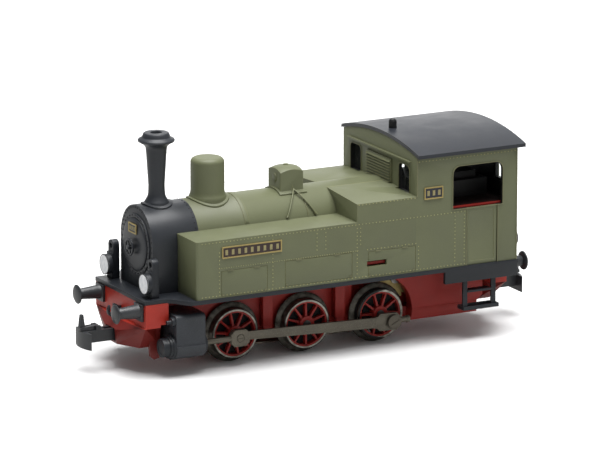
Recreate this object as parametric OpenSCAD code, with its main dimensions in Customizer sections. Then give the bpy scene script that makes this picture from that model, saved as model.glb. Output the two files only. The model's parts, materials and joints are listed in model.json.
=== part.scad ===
// Small-gauge model of a three-axle side-tank steam locomotive, in millimetres.
// Frame: +X towards the chimney end, +Y to the locomotive's left, +Z up.
// Origin: rail level, halfway between the rails, below the middle axle.

/* [Running gear] */
// Distance between the inner faces of the two wheels of a pair
wheel_back = 14.0; // [13.9:0.1:14.2]
// Radius of the wheel tread
tread_r = 6.0; // [5.9:0.05:6.1]
// Height of the flange above the tread
flange_h = 1.1; // [0.9:0.1:1.1]
// Distance from the middle axle to the front axle
base_front = 18.65; // [18.4:0.05:18.8]
// Distance from the middle axle to the rear axle
base_rear = 19.45; // [19.3:0.05:19.6]
// Number of spokes in a wheel
spokes = 10; // [8:1:12]
// Distance from the rear axle to its crank pins
crank_r = 2.6; // [2.3:0.1:2.7]
// Direction of the left crank at rest, from +X towards +Z
crank_deg = 214; // [208:1:218]
// Distance between the two eyes of a main rod
main_rod_l = 41.0; // [40.8:0.1:41.2]
// Radial clearance of every running fit
run_gap = 0.05; // [0.03:0.01:0.08]

/* [Body] */
// Outside width over the side tanks and the cab
body_w = 36.2; // [36.0:0.2:36.6]
// Height of the side tank tops
tank_top = 31.1; // [30.8:0.1:31.4]
// Height of the bunker tops
bunker_top = 35.4; // [35.2:0.1:35.6]
// Height of the roof crown
roof_top = 47.9; // [47.0:0.1:48.0]
// Outside radius of the boiler and smokebox
boiler_r = 8.4; // [8.3:0.05:8.5]
// Height of the chimney rim
chimney_top = 53.4; // [52.5:0.1:54.0]
// Height of the steam dome
dome_top = 46.2; // [45.0:0.1:46.5]
// Thickness of the body casting's walls
wall = 0.9; // [0.8:0.1:1.0]

/* [Ends] */
// Height of the buffer centres
buffer_z = 14.5; // [14.3:0.1:14.7]
// Distance from the centre line to each buffer
buffer_y = 10.2; // [10.0:0.1:10.4]
// Distance from a buffer beam to its buffer faces
buffer_l = 6.75; // [6.5:0.05:7.0]
// Travel of each coupler to either side, in degrees
coupler_swing = 7; // [0:1:7]

/* [Hidden] */
$fn = 48;
gap = 0.02;

// Heights and stations
half_w = body_w / 2;
board_z0 = 16.4;
board_z1 = 17.4;
smoke_x0 = 27.0;
smoke_x1 = 39.0;
tank_x1 = 32.6;
bunker_x1 = -8.9;
cab_x1 = -24.6;
cab_x0 = -51.5;
beam_x1 = 43.2;
beam_x0 = -51.6;
beam_z0 = 10.9;
beam_w = 13.2;
boiler_z = 28.4;
roof_half = 19.1;
roof_sag = 2.55;
roof_t = 0.85;
roof_r = (pow(roof_half, 2) + pow(roof_sag, 2)) / (2 * roof_sag);
roof_cz = roof_top - roof_r;
window_y = 11.9;
window_w = 5.3;
window_z = [35.6, 41.9];
door_x = [-46.2, -38.0];
sill_z = 31.3;
floor_z = 31.1;
tank_corner = 0.6;
door_z = 27.6;
chimney_x = 33.8;
smoke_bore_r = 1.4;
dome_x = 20.7;
dome_r = 3.95;
sand_x = 0.3;
sand_box = [2.95, 3.1];
sand_foot = [3.5, 4.0];
sand_top = 42.15;
sand_lid_r = 8;
pipe_r = 0.2;
bunker_rise = 0.06;
vent_x = -28.0;
lamp_y = 10.4;
lamp_z = 20.8;

// Stations of the keeper screws, the frame hangers, the pickup posts and the step hangers
screw_x = [9.3, -9.7, -41];
hanger_x = [9.3, -9.7];
post_x = [-13, 13];
step_x = [-38.15, -45.75];
side_frame_r = 8.9;

// Wheels
wheel_w = 3.0;
wheel_y0 = wheel_back / 2;
wheel_y1 = wheel_y0 + wheel_w;
rim_r = tread_r - 0.65;
axle_r = 1.0;
axle_x = [base_front, 0, -base_rear];
spoke_phase = [7, 18, 2];

// Main rods, crossheads and cylinders, measured outwards from the wheel faces
rod_y0 = 11.6;
rod_y1 = 12.5;
head_y0 = 12.6;
head_y1 = 14.1;
pin_r = 0.7;
piston_r = 0.7;
cyl_y = 13.3;
cyl_r = 3.0;
cyl_x0 = 29.3;
cyl_x1 = 36.7;
casing_z = 6.45;
chest_y = 15.9;
crank_deg_right = crank_deg - 90;

// Gear train: axle gear, idler, compound gear, motor pinion
gear_m = 0.4;
teeth_axle = 24;
teeth_idler = 22;
teeth_small = 12;
teeth_large = 28;
teeth_pinion = 10;
plane_a = [4.9, 5.9];
plane_b = [3.7, 4.7];
dir_idler = 131;
dir_compound = 125;
dir_motor = 138;
stud_r = 0.6;
shaft_r = 0.75;
idler_at = [axle_x[2], tread_r] + mesh(teeth_axle, teeth_idler, dir_idler);
compound_at = idler_at + mesh(teeth_idler, teeth_small, dir_compound);
motor_at = compound_at + mesh(teeth_large, teeth_pinion, dir_motor);
idler_turn = in_mesh(teeth_axle, teeth_idler, dir_idler, 0);
small_turn = in_mesh(teeth_idler, teeth_small, dir_compound, idler_turn);
pinion_turn = in_mesh(teeth_large, teeth_pinion, dir_motor, 0);

// Couplers, measured from the front buffer beam
pivot_in = 1.7;
shank_z = [5.9, 8.7];
shank_half = 1.5;
pocket_half = shank_half + 4.4 * sin(coupler_swing) + 0.2;
hook_at = [beam_x1 + 6.4, 9.3];

function polar(r, deg) = [r * cos(deg), r * sin(deg)];
function mesh(n1, n2, deg) = polar(gear_m * (n1 + n2) / 2, deg);
function in_mesh(n1, n2, deg, turn1) = deg + 180 - n1 / n2 * (turn1 - deg) - 180 / n2;
function crank_at(deg) = [axle_x[2], tread_r] + polar(crank_r, deg);
function eye_x(deg) = crank_at(deg)[0] + sqrt(pow(main_rod_l, 2) - pow(crank_r * sin(deg), 2));

// ---------- helpers ----------

// A solid with its copy on the other side of the locomotive
module both_sides() {
    children();
    mirror([0, 1, 0]) children();
}

// A front-end solid moved to the rear end and turned about
module rear_end() {
    translate([beam_x0 + beam_x1, 0, 0]) mirror([1, 0, 0]) children();
}

// Cylinder along X, Y or Z between two stations, centred at c in the other two axes
module xcyl(r, x0, x1, c) {
    translate([x0, c[0], c[1]]) rotate([0, 90, 0]) cylinder(r = r, h = x1 - x0);
}

module ycyl(r, y0, y1, c = [0, 0]) {
    translate([c[0], y0, c[1]]) rotate([-90, 0, 0]) cylinder(r = r, h = y1 - y0);
}

module zcyl(r, z0, z1, c = [0, 0]) {
    translate([c[0], c[1], z0]) cylinder(r = r, h = z1 - z0);
}

// Box between two opposite corners
module block(a, b) {
    translate(a) cube(b - a);
}

// Profile in Y and Z drawn out along X
module along_x(x0, x1) {
    translate([x0, 0, 0]) rotate([90, 0, 90]) linear_extrude(x1 - x0) children();
}

// Profile in X and Z drawn out along Y
module along_y(y0, y1) {
    translate([0, y1, 0]) rotate([90, 0, 0]) linear_extrude(y1 - y0) children();
}

// Turned profile, given as radius and distance along Y
module turned_y() {
    rotate([-90, 0, 0]) rotate_extrude() children();
}

// Rectangle between two corners with round upper corners
module arched(a, b, r) {
    difference() {
        translate(a) square(b - a);
        for (side = [0, 1]) {
            translate([side == 0 ? a[0] : b[0] - r, b[1] - r]) square(r);
        }
    }
    for (x = [a[0] + r, b[0] - r]) {
        translate([x, b[1] - r]) circle(r);
    }
}

// Box with cut corners in X and Z, drawn out along Y
module cut_corner(w, h, c) {
    polygon([
        [-w / 2, -h / 2 + c], [-w / 2 + c, -h / 2], [w / 2 - c, -h / 2], [w / 2, -h / 2 + c],
        [w / 2, h / 2 - c], [w / 2 - c, h / 2], [-w / 2 + c, h / 2], [-w / 2, h / 2 - c]
    ]);
}

// Spur gear outline in X and Z, tooth 0 along +X, with a little backlash
module gear_outline(n) {
    r = gear_m * n / 2;
    tooth = 360 / n;
    polygon([
        for (k = [0:n - 1])
            for (p = [
                [r - 1.1 * gear_m, -0.36], [r - 0.35 * gear_m, -0.265], [r + 0.2 * gear_m, -0.195],
                [r + 0.8 * gear_m, -0.09], [r + 0.8 * gear_m, 0.09], [r + 0.2 * gear_m, 0.195],
                [r - 0.35 * gear_m, 0.265], [r - 1.1 * gear_m, 0.36]
            ])
                polar(p[0], (k + p[1]) * tooth)
    ]);
}

// Gear blank at a centre, turned to its phase, with a bore
module gear(n, y, at, turn, bore) {
    difference() {
        translate([at[0], 0, at[1]]) along_y(y[0], y[1]) rotate(turn) gear_outline(n);
        ycyl(bore, y[0] - 1, y[1] + 1, at);
    }
}

// ---------- chassis ----------

module axle_holes(y) {
    for (x = axle_x) {
        ycyl(axle_r + run_gap, -y, y, [x, tread_r]);
    }
}

// Cast frame with the motor well, the gear pocket and the motor's mounting plate
module chassis_frame() {
    color([0.55, 0.12, 0.10])
    difference() {
        union() {
            along_y(-6.4, 6.4) polygon([
                [37.4, 6.0], [37.4, board_z0], [-47.4, board_z0], [-47.4, 6.0]
            ]);
            along_y(2.5, 3.5) polygon([
                [-44.5, 15.4], [-23.2, 15.4], [-23.2, 19.5], [-26.2, 24.0], [-28.0, 30.9],
                [-41.5, 30.9], [-44.5, 27.0]
            ]);
        }
        block([-36.9, 3.5, 5], [-13.7, 7, board_z0 + 1]);
        block([-44.5, -7, 14.2], [-26.0, 2.5, board_z0 + 1]);
        axle_holes(7);
        for (at = [idler_at, compound_at]) {
            ycyl(stud_r, 2, 4, at);
        }
        ycyl(shaft_r + run_gap, 2, 4, motor_at);
        for (x = screw_x) {
            zcyl(0.7, 5, 10, [x, 0]);
        }
    }
}

// Bottom cover that holds the axles in the frame
module keeper_plate() {
    color([0.50, 0.10, 0.09])
    difference() {
        union() {
            block([-45.8, -6.4, 3.3], [25.5, 6.4, 6.0]);
            both_sides() along_y(6.4, 9.2) difference() {
                translate([-45.8, 3.3]) square([18, 2.7]);
                translate([axle_x[2], tread_r]) circle(side_frame_r);
            }
        }
        axle_holes(7);
        block([-25.2, 4.5, 3], [-13.7, 7, 7]);
        for (x = screw_x) {
            zcyl(0.7, 3, 7, [x, 0]);
        }
        for (x = post_x) {
            zcyl(0.65, 3, 5.8, [x, 0]);
        }
    }
}

// Dummy outer frames: the plates behind the rear wheels and the hangers between the wheels
module side_frames() {
    color([0.62, 0.13, 0.11])
    both_sides() {
        along_y(6.4, 9.2) difference() {
            polygon([
                [-22.0, 6.0], [-22.0, board_z0], [-47.4, board_z0], [-47.4, 7.3], [-45.8, 6.0]
            ]);
            translate([axle_x[2], tread_r]) circle(side_frame_r);
        }
        for (x = hanger_x) {
            along_y(6.4, 8.3) polygon([
                [x - 1.25, 6.0], [x - 1.25, board_z0], [x + 1.25, board_z0], [x + 1.25, 6.0]
            ]);
            along_y(7.2, 8.3) translate([x - 0.9, 4.4]) square([1.8, 1.6]);
        }
    }
}

// Cheese-head screws in the keeper plate, and the coupler pivot pins
module frame_screws() {
    color([0.62, 0.62, 0.60]) {
        for (x = screw_x) {
            difference() {
                union() {
                    zcyl(1.3, 2.7, 3.3, [x, 0]);
                    zcyl(0.7, 3.3, 9.5, [x, 0]);
                }
                block([x - 1.5, -0.15, 2.6], [x + 1.5, 0.15, 2.95]);
            }
        }
        for (x = [beam_x1 - pivot_in, beam_x0 + pivot_in]) {
            zcyl(0.6, 5.2, 9.6, [x, 0]);
        }
    }
}

// Studs that carry the idler and the compound gear
module gear_studs() {
    color([0.70, 0.70, 0.68])
    for (at = [idler_at, compound_at]) {
        ycyl(stud_r, 2.5, 6.0, at);
        ycyl(1.1, 6.0, 6.3, at);
    }
}

// Wedge below a buffer beam, with the pocket that holds the coupler
module nose(lower_half, back) {
    difference() {
        hull() {
            for (s = [-1, 1]) {
                for (p = [
                    [beam_x1, beam_w, beam_z0], [beam_x1 + 0.8, 4.8, beam_z0],
                    [beam_x1 - 0.4, lower_half, 8.8], [beam_x1 + 2.7, 3.3, 8.8],
                    [beam_x1 - 0.6, lower_half, 5.3], [beam_x1 + 2.3, 2.8, 5.3],
                    [back, lower_half, 5.3], [back, lower_half, beam_z0]
                ]) {
                    translate([p[0], s * (p[1] - 0.05), p[2] - 0.05]) cube(0.05);
                }
            }
        }
        block([beam_x1 - pivot_in - 2.2, -pocket_half, shank_z[0] - 0.15],
            [beam_x1 + 4, pocket_half, shank_z[1] + 0.15]);
        zcyl(0.6, 5, 10, [beam_x1 - pivot_in, 0]);
    }
}

// Front buffer beam, stepped at its lower rear edge, with its nose and the guard irons
module front_beam() {
    color([0.72, 0.16, 0.11]) {
        along_y(-beam_w, beam_w) polygon([
            [beam_x1, beam_z0 - 0.1], [beam_x1, board_z0], [37.4, board_z0], [37.4, 11.4],
            [39.4, 11.4], [39.4, beam_z0 - 0.1]
        ]);
        nose(8.6, 37.4);
        both_sides() along_y(9.0, 10.0) polygon([
            [37.9, 11.5], [37.9, 9.6], [38.5, 4.3], [38.1, 3.4], [38.4, 2.7], [39.6, 2.5],
            [40.4, 3.2], [40.6, 5.2], [40.8, 9.6], [41.4, 11.5]
        ]);
    }
}

module rear_beam() {
    color([0.72, 0.16, 0.11]) {
        block([beam_x0, -beam_w, beam_z0 - 0.1], [-47.4, beam_w, board_z0]);
        rear_end() nose(6.0, 39.0);
    }
}

// Plan outline of the running board: narrow front platform, then an S-curve out to the tanks
function board_half(x) =
    let (t = min(1, max(0, (38.2 - x) / 5)))
    13.1 + (half_w + 0.2 - 13.1) * t * t * (3 - 2 * t);

module running_board() {
    steps = [for (k = [0:10]) 38.2 - k / 2];
    outline = concat(
        [[beam_x1 + 0.2, 13.1]],
        [for (x = steps) [x, board_half(x)]],
        [[cab_x0 - 0.3, half_w + 0.2]]
    );
    color([0.13, 0.14, 0.15]) {
        difference() {
            translate([0, 0, board_z0]) linear_extrude(board_z1 - board_z0) polygon(concat(
                outline, [for (k = [len(outline) - 1:-1:0]) [outline[k][0], -outline[k][1]]]
            ));
            block([-45, -9.4, board_z0 - 1], [-13.7, 6.5, board_z1 + 1]);
        }
        both_sides() block([cab_x0 - 0.1, half_w - 0.8, 13.5], [-32.2, half_w + 0.2, board_z0]);
    }
}

// Two-tread steps below the cab doors
module cab_steps() {
    half = 0.6;
    color([0.12, 0.12, 0.13])
    both_sides() {
        for (x = step_x) {
            block([x - half, 16.7, 6.4], [x + half, half_w - 0.8, board_z0]);
        }
        block([step_x[1] + half, 15.3, 10.6], [step_x[0] - half, 17.7, 11.1]);
        difference() {
            block([step_x[1] - 1.1, 14.9, 6.4], [step_x[0] + 0.8, 18.0, 7.3]);
            block([step_x[1] - 0.8, 15.2, 6.9], [step_x[0] + 0.5, 17.7, 7.5]);
            for (x = step_x) {
                block([x - half, 16.7, 6], [x + half, half_w - 0.8, 8]);
            }
        }
    }
}

// ---------- body ----------

// Everything the curved roof covers
module under_roof() {
    xcyl(roof_r - roof_t, cab_x0 - 5, cab_x1 + 5, [0, roof_cz]);
}

// Fine line engraved round a panel in the left side of the body
module panel_line(x, z) {
    d = 0.14;
    difference() {
        block([x[0] - d, half_w - 0.12, z[0] - d], [x[1] + d, half_w + 1, z[1] + d]);
        block([x[0], half_w - 0.5, z[0]], [x[1], half_w + 2, z[1]]);
    }
}

// Side tanks, bunkers and cab walls in one casting
module body_shell() {
    w = wall;
    color([0.38, 0.38, 0.26])
    difference() {
        union() {
            both_sides() {
                linear_extrude(tank_top) union() {
                    translate([cab_x0, 5]) square([tank_x1 - tank_corner - cab_x0, half_w - 5]);
                    translate([tank_x1 - tank_corner, 5])
                        square([tank_corner, half_w - tank_corner - 5]);
                    translate([tank_x1 - tank_corner, half_w - tank_corner]) circle(tank_corner);
                }
                along_x(cab_x1 - 0.5, bunker_x1) polygon([
                    [2.5, tank_top - 1], [half_w, tank_top - 1], [half_w, bunker_top],
                    [2.5, bunker_top + bunker_rise * (half_w - 2.5)]
                ]);
            }
            intersection() {
                block([cab_x0, -half_w, board_z1], [cab_x1, half_w, roof_top]);
                under_roof();
            }
            block([cab_x1 - 0.1, -15.25, 42.9], [cab_x1 + 0.6, 15.25, 43.3]);
        }
        block([cab_x0 - 1, -30, -1], [tank_x1 + 1, 30, board_z1]);
        block([cab_x1, -boiler_r - gap, 0], [tank_x1 + 1, boiler_r + gap, boiler_z]);
        xcyl(boiler_r + gap, cab_x1, tank_x1 + 1, [0, boiler_z]);
        both_sides() {
            block([cab_x1, boiler_r, 0], [tank_x1 - w, half_w - w, tank_top - w]);
            block([cab_x1, 4, tank_top - w - 1], [bunker_x1 - w, half_w - w, bunker_top - w]);
        }
        block([cab_x0 + w, -half_w + w, 0], [cab_x1 - w, half_w - w, roof_top + 5]);
        block([cab_x1 - w - 1, -9.4, 0], [cab_x1 + 1, boiler_r, 26]);
        for (s = [-1, 1]) {
            along_x(cab_x0 - 1, cab_x1 + 1) arched(
                [s * window_y - window_w / 2, window_z[0]],
                [s * window_y + window_w / 2, window_z[1]], 1.2
            );
        }
        along_y(-half_w - 1, half_w + 1) {
            arched([-47.5, sill_z], [-34.2, 41.5], 1.9);
            translate([door_x[0], board_z1 - 1])
                square([door_x[1] - door_x[0], sill_z - board_z1 + 1.1]);
        }
        block([-16.7, half_w - 1.5, 20.2], [-11.5, half_w + 1, 21.5]);
        both_sides() {
            panel_line([14.6, 26.2], [17.8, 23.6]);
            panel_line([-7.5, 9.8], [18.2, 24.0]);
            panel_line([-24.2, -12.0], [17.8, 23.7]);
        }
    }
}

// Boiler barrel with its band, notched below the cab end for the gears
module boiler() {
    color([0.38, 0.38, 0.26])
    difference() {
        union() {
            xcyl(boiler_r, cab_x1, smoke_x0, [0, boiler_z]);
            intersection() {
                xcyl(boiler_r + 0.12, 13.9, 14.9, [0, boiler_z]);
                block([10, -7.9, tank_top + 0.3], [20, 7.9, 40]);
            }
        }
        xcyl(boiler_r - 1, cab_x1 - 1, smoke_x0 + 1, [0, boiler_z]);
        block([cab_x1 - 1, -9, 17], [-20, 9, 24.6]);
    }
}

// Smokebox: a half-round top on straight sides that stand on the running board
module smokebox() {
    color([0.11, 0.12, 0.13])
    difference() {
        union() {
            xcyl(boiler_r, smoke_x0, smoke_x1, [0, boiler_z]);
            block([smoke_x0, -boiler_r, board_z1], [smoke_x1, boiler_r, boiler_z]);
        }
        zcyl(smoke_bore_r, 24, 40, [chimney_x, 0]);
    }
}

// Domed smokebox door in its clamping ring
module smokebox_door() {
    color([0.10, 0.11, 0.12])
    translate([smoke_x1, 0, door_z]) rotate([0, 90, 0]) rotate_extrude() polygon(concat(
        [[0, 0], [7.2, 0], [7.2, 0.35], [6.35, 0.35], [6.35, 0.2], [6.15, 0.2], [6.15, 0.5]],
        [for (k = [1:6]) [6.15 * cos(k * 15), 0.5 + 0.45 * sin(k * 15)]]
    ));
}

module door_handwheel() {
    color([0.12, 0.12, 0.13])
    translate([smoke_x1, 0, door_z - 0.5]) rotate([0, 90, 0]) {
        translate([0, 0, 1.85]) rotate_extrude() translate([1.8, 0]) circle(0.26);
        for (k = [0:3]) {
            rotate([0, 0, 90 * k + 20]) translate([0, -0.16, 1.7]) cube([1.8, 0.32, 0.3]);
        }
        translate([0, 0, 0.96]) cylinder(r = 0.55, h = 1.5);
    }
}

// Thin round flange that lies on the boiler or the smokebox
module saddle(x, r, t) {
    intersection() {
        zcyl(r, boiler_z, boiler_z + boiler_r + 2, [x, 0]);
        xcyl(boiler_r + t, x - r - 1, x + r + 1, [0, boiler_z]);
    }
}

// Chimney with its saddle flange, flared foot and turned cap
module chimney() {
    color([0.10, 0.11, 0.12])
    difference() {
        union() {
            translate([chimney_x, 0, 0]) rotate_extrude() polygon([
                [0, 34.5], [3.0, 34.5], [2.95, 37.0], [2.5, 37.7], [2.1, 38.5], [1.95, 39.5],
                [1.9, 41.0], [2.3, 47.6], [2.5, 49.9], [2.75, 50.4], [3.4, 50.9], [4.2, 51.35],
                [4.3, 51.65], [4.15, 51.9], [3.3, 52.35], [3.0, chimney_top - 0.2],
                [2.8, chimney_top], [0, chimney_top]
            ]);
            saddle(chimney_x, 3.7, 0.35);
        }
        xcyl(boiler_r + gap, smoke_x0, smoke_x1 + 3, [0, boiler_z]);
        zcyl(smoke_bore_r, 30, 60, [chimney_x, 0]);
    }
}

// Steam dome with its saddle flange and rounded top
module steam_dome() {
    color([0.40, 0.40, 0.27])
    difference() {
        union() {
            translate([dome_x, 0, 0]) rotate_extrude() {
                polygon([
                    [0, 34], [4.5, 34], [4.4, 37.0], [4.1, 37.6], [dome_r, 38.4],
                    [dome_r, dome_top - 1.2], [0, dome_top - 1.2]
                ]);
                intersection() {
                    translate([0, dome_top - 5]) square([dome_r, 5]);
                    union() {
                        translate([dome_r - 1.2, dome_top - 1.2]) circle(1.2);
                        translate([0, dome_top - 2]) square([dome_r - 1.2, 2]);
                    }
                }
            }
            saddle(dome_x, 5.0, 0.35);
        }
        xcyl(boiler_r + gap, smoke_x0 - 20, smoke_x1, [0, boiler_z]);
    }
}

// Sandbox: an upright box with a domed lid and a knob, on a thin foot that follows the boiler,
// with a round cover in front and a pointed pipe clip on each side
module sandbox() {
    color([0.39, 0.39, 0.26])
    difference() {
        union() {
            intersection() {
                block([sand_x - sand_box[0], -sand_box[1], 34],
                    [sand_x + sand_box[0], sand_box[1], sand_top]);
                translate([sand_x, 0, sand_top - sand_lid_r]) sphere(sand_lid_r, $fn = 64);
            }
            intersection() {
                block([sand_x - sand_foot[0], -sand_foot[1], 34],
                    [sand_x + sand_foot[0], sand_foot[1], 38]);
                xcyl(boiler_r + 0.32, sand_x - 5, sand_x + 5, [0, boiler_z]);
            }
            zcyl(0.6, sand_top - 0.4, sand_top + 0.18, [sand_x, 0]);
            xcyl(1.0, sand_x, sand_x + sand_box[0] + 0.15, [0, 39.4]);
            both_sides() along_y(sand_box[1] - 0.1, sand_box[1] + 0.13)
                polygon([[sand_x - 0.75, 36.3], [sand_x + 0.35, 36.3], [sand_x - 0.2, 37.8]]);
        }
        xcyl(boiler_r + gap, -20, 20, [0, boiler_z]);
    }
}

// Point on the sand pipes' path over the boiler, by angle from the crown and height above it
function pipe_at(x, deg, lift) = [
    x, (boiler_r + lift) * sin(deg), boiler_z + (boiler_r + lift) * cos(deg)
];

// Two sand pipes on each side, from the clip on the sandbox to the tank top
module sand_pipes() {
    start = sand_x - 0.2;
    color([0.34, 0.34, 0.24])
    both_sides() {
        for (end = [4.2, -3.4]) {
            path = [
                for (k = [0:3]) pipe_at(start + k / 3 * (end - start), 22 + k * 15.7, k ? 0.32 : 0.82)
            ];
            for (k = [0:2]) {
                hull() {
                    translate(path[k]) sphere(pipe_r, $fn = 8);
                    translate(path[k + 1]) sphere(pipe_r, $fn = 8);
                }
            }
        }
    }
}

// Curved cab roof with the vent pipe
module cab_roof() {
    color([0.14, 0.16, 0.19]) {
        difference() {
            intersection() {
                xcyl(roof_r, cab_x0 - 1.6, cab_x1 + 0.1, [0, roof_cz]);
                block([cab_x0 - 2, -roof_half, 40], [cab_x1 + 1, roof_half, 50]);
            }
            xcyl(roof_r - roof_t + gap, cab_x0 - 2, cab_x1 + 1, [0, roof_cz]);
        }
        translate([vent_x, 0, roof_top]) rotate_extrude() polygon([
            [0, -0.4], [0.95, -0.4], [0.95, 1.6], [0.75, 2.0], [0.35, 2.2], [0, 2.2]
        ]);
    }
}

// Louvred panel between the cab's front windows
module louvre_panel() {
    x = cab_x1 + gap;
    color([0.36, 0.36, 0.25])
    difference() {
        union() {
            block([x, -6, 36.35], [x + 0.3, 6, 41.9]);
            for (k = [0:7]) {
                along_y(-5.75, 5.75) polygon([
                    [x + 0.2, 36.4 + 0.68 * k], [x + 0.7, 36.4 + 0.68 * k],
                    [x + 0.2, 36.9 + 0.68 * k]
                ]);
            }
        }
        xcyl(boiler_r + gap, cab_x1 - 1, cab_x1 + 3, [0, boiler_z]);
    }
}

module cab_doors() {
    color([0.37, 0.37, 0.25])
    both_sides() difference() {
        block([door_x[0] + 0.1, half_w - wall + 0.1, board_z1],
            [door_x[1] - 0.1, half_w - 0.15, sill_z - 0.1]);
        block([door_x[0] + 0.9, half_w - 0.3, board_z1 + 0.9],
            [door_x[1] - 0.9, half_w, sill_z - 1.2]);
    }
}

// Clear panes let into the cab's end walls
module window_glazing() {
    color([0.8, 0.85, 0.85, 0.35])
    for (x = [cab_x0 + wall, cab_x1 - wall - 0.3]) {
        for (s = [-1, 1]) {
            block([x, s * window_y - 3.2, window_z[0] - 0.7],
                [x + 0.3, s * window_y + 3.2, window_z[1] + 0.5]);
        }
    }
}

module cab_floor() {
    color([0.58, 0.11, 0.10])
    block([cab_x0 + wall + 0.05, -half_w + wall + 0.1, floor_z],
        [cab_x1 - wall - 0.05, half_w - wall - 0.1, floor_z + 0.5]);
}

// Boiler backhead and the cover over the motor, one black moulding on the cab floor
module cab_interior() {
    x = cab_x1 - wall - 0.4;
    z = floor_z + 0.5;
    color([0.09, 0.09, 0.10]) {
        along_x(x - 2.2, x) arched([-6.2, z], [6.2, z + 8.6], 4.2);
        xcyl(1.7, x - 2.7, x - 2.1, [0, z + 2.6]);
        difference() {
            union() {
                block([-48.5, -9, z], [-31.5, 9, z + 4.0]);
                block([-46.5, -7, z + 3.9], [-35.0, 7, z + 5.6]);
                block([-31.6, -4, z], [x - 2, 4, z + 0.6]);
            }
            block([-47.7, -8.2, z - 1], [-32.3, 8.2, z + 3.2]);
        }
    }
}

// Gauge, regulator and cocks on the backhead
module backhead_fittings() {
    x = cab_x1 - wall - 2.6;
    z = floor_z + 0.5;
    color([0.72, 0.57, 0.25]) {
        xcyl(0.9, x - 0.4, x, [2.6, z + 6.6]);
        xcyl(0.9, x - 0.4, x, [-2.6, z + 6.6]);
        xcyl(0.4, x - 1.2, x, [0, z + 6.2]);
        block([x - 1.2, -0.25, z + 4.9], [x - 0.9, 3.2, z + 5.4]);
        xcyl(0.3, x - 1.2, x, [0.2, z + 5.15]);
        for (y = [-4.6, 4.6]) {
            zcyl(0.3, z + 2.5, z + 5.2, [x - 0.5, y]);
            for (h = [2.7, 4.8]) {
                xcyl(0.22, x - 0.5, x, [y, z + h]);
            }
        }
    }
}

// Red reversing rod seen through the slot in the left tank
module reach_rod() {
    color([0.70, 0.12, 0.10])
    block([-19.0, half_w - wall - 1.0, 20.4], [-9.0, half_w - wall, 21.1]);
}

// A plate with a raised border on the left side
module edged_plate(x, z) {
    difference() {
        block([x[0], half_w, z[0]], [x[1], half_w + 0.3, z[1]]);
        block([x[0] + 0.3, half_w + 0.15, z[0] + 0.3], [x[1] - 0.3, half_w + 1, z[1] - 0.3]);
    }
}

// Blank plates on the tanks, the cab and the smokebox door
module plates() {
    color([0.72, 0.60, 0.28]) {
        both_sides() {
            edged_plate([10.8, 26.2], [26.6, 29.4]);
            edged_plate([-31.5, -26.5], [34.5, 37.4]);
        }
        difference() {
            block([smoke_x1 + 0.9, -2.0, 30.3], [smoke_x1 + 1.15, 2.0, 32.6]);
            block([smoke_x1 + 1.05, -1.7, 30.6], [smoke_x1 + 2, 1.7, 32.3]);
            translate([smoke_x1, 0, door_z]) rotate([0, 90, 0]) cylinder(r = 6.2, h = 0.9);
        }
    }
}

// ---------- ends ----------

// Lamp bracket with its pierced round top, and the barrel behind the lens
module lamp_housing(x, z0) {
    difference() {
        union() {
            along_x(x, x + 1.6) arched([lamp_y - 1.4, z0], [lamp_y + 1.4, 26.5], 1.39);
            block([x, lamp_y - 1.4, z0], [x + 2, lamp_y + 1.4, lamp_z + 2.8]);
        }
        xcyl(0.7, x - 1, x + 3, [lamp_y, 25.1]);
    }
    xcyl(2.35, x + 2, x + 3.1, [lamp_y, lamp_z]);
}

module lamp_housings() {
    color([0.10, 0.11, 0.12])
    both_sides() {
        lamp_housing(smoke_x1 + gap, board_z1);
        translate([cab_x0, 0, 0]) mirror([1, 0, 0]) lamp_housing(0, board_z1 + 0.5);
    }
}

module lamp_lenses() {
    front = smoke_x1 + gap + 3.1;
    rear = cab_x0 - 3.1;
    color([0.85, 0.87, 0.90])
    both_sides() {
        xcyl(2.2, front, front + 0.3, [lamp_y, lamp_z]);
        xcyl(2.2, rear - 0.3, rear, [lamp_y, lamp_z]);
    }
}

// Square base and tapering barrel of one front buffer
module buffer_sleeve() {
    difference() {
        union() {
            block([beam_x1, buffer_y - 2.0, buffer_z - 2.1],
                [beam_x1 + 0.6, buffer_y + 2.0, buffer_z + 1.8]);
            translate([beam_x1 + 0.6, buffer_y, buffer_z]) rotate([0, 90, 0])
                cylinder(r1 = 1.7, r2 = 1.25, h = buffer_l - 1.75);
        }
        xcyl(0.7, beam_x1 + 2, beam_x1 + buffer_l, [buffer_y, buffer_z]);
    }
}

module buffer_sleeves() {
    color([0.12, 0.13, 0.14])
    both_sides() {
        buffer_sleeve();
        rear_end() buffer_sleeve();
    }
}

// Domed buffer head on its shank
module buffer_head() {
    translate([beam_x1, buffer_y, buffer_z]) rotate([0, 90, 0]) rotate_extrude() polygon([
        [0, 2.2], [0.7, 2.2], [0.7, buffer_l - 1.05], [1.3, buffer_l - 1.0],
        [2.2, buffer_l - 0.75], [2.3, buffer_l - 0.5], [1.9, buffer_l - 0.25],
        [1.1, buffer_l - 0.06], [0, buffer_l]
    ]);
}

module buffer_heads() {
    color([0.16, 0.17, 0.18])
    both_sides() {
        buffer_head();
        rear_end() buffer_head();
    }
}

// Draw hook on each buffer beam
module draw_hook() {
    along_y(-0.4, 0.4) difference() {
        union() {
            translate([beam_x1 + 1.9, 12.6]) circle(1.6);
            translate([beam_x1, 12.1]) square([1.5, 1.4]);
        }
        translate([beam_x1 + 2.1, 12.7]) circle(0.75);
        translate([beam_x1 + 1.9, 13.1]) square([0.9, 2]);
    }
}

module draw_hooks() {
    color([0.10, 0.10, 0.11]) {
        draw_hook();
        rear_end() draw_hook();
    }
}

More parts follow.
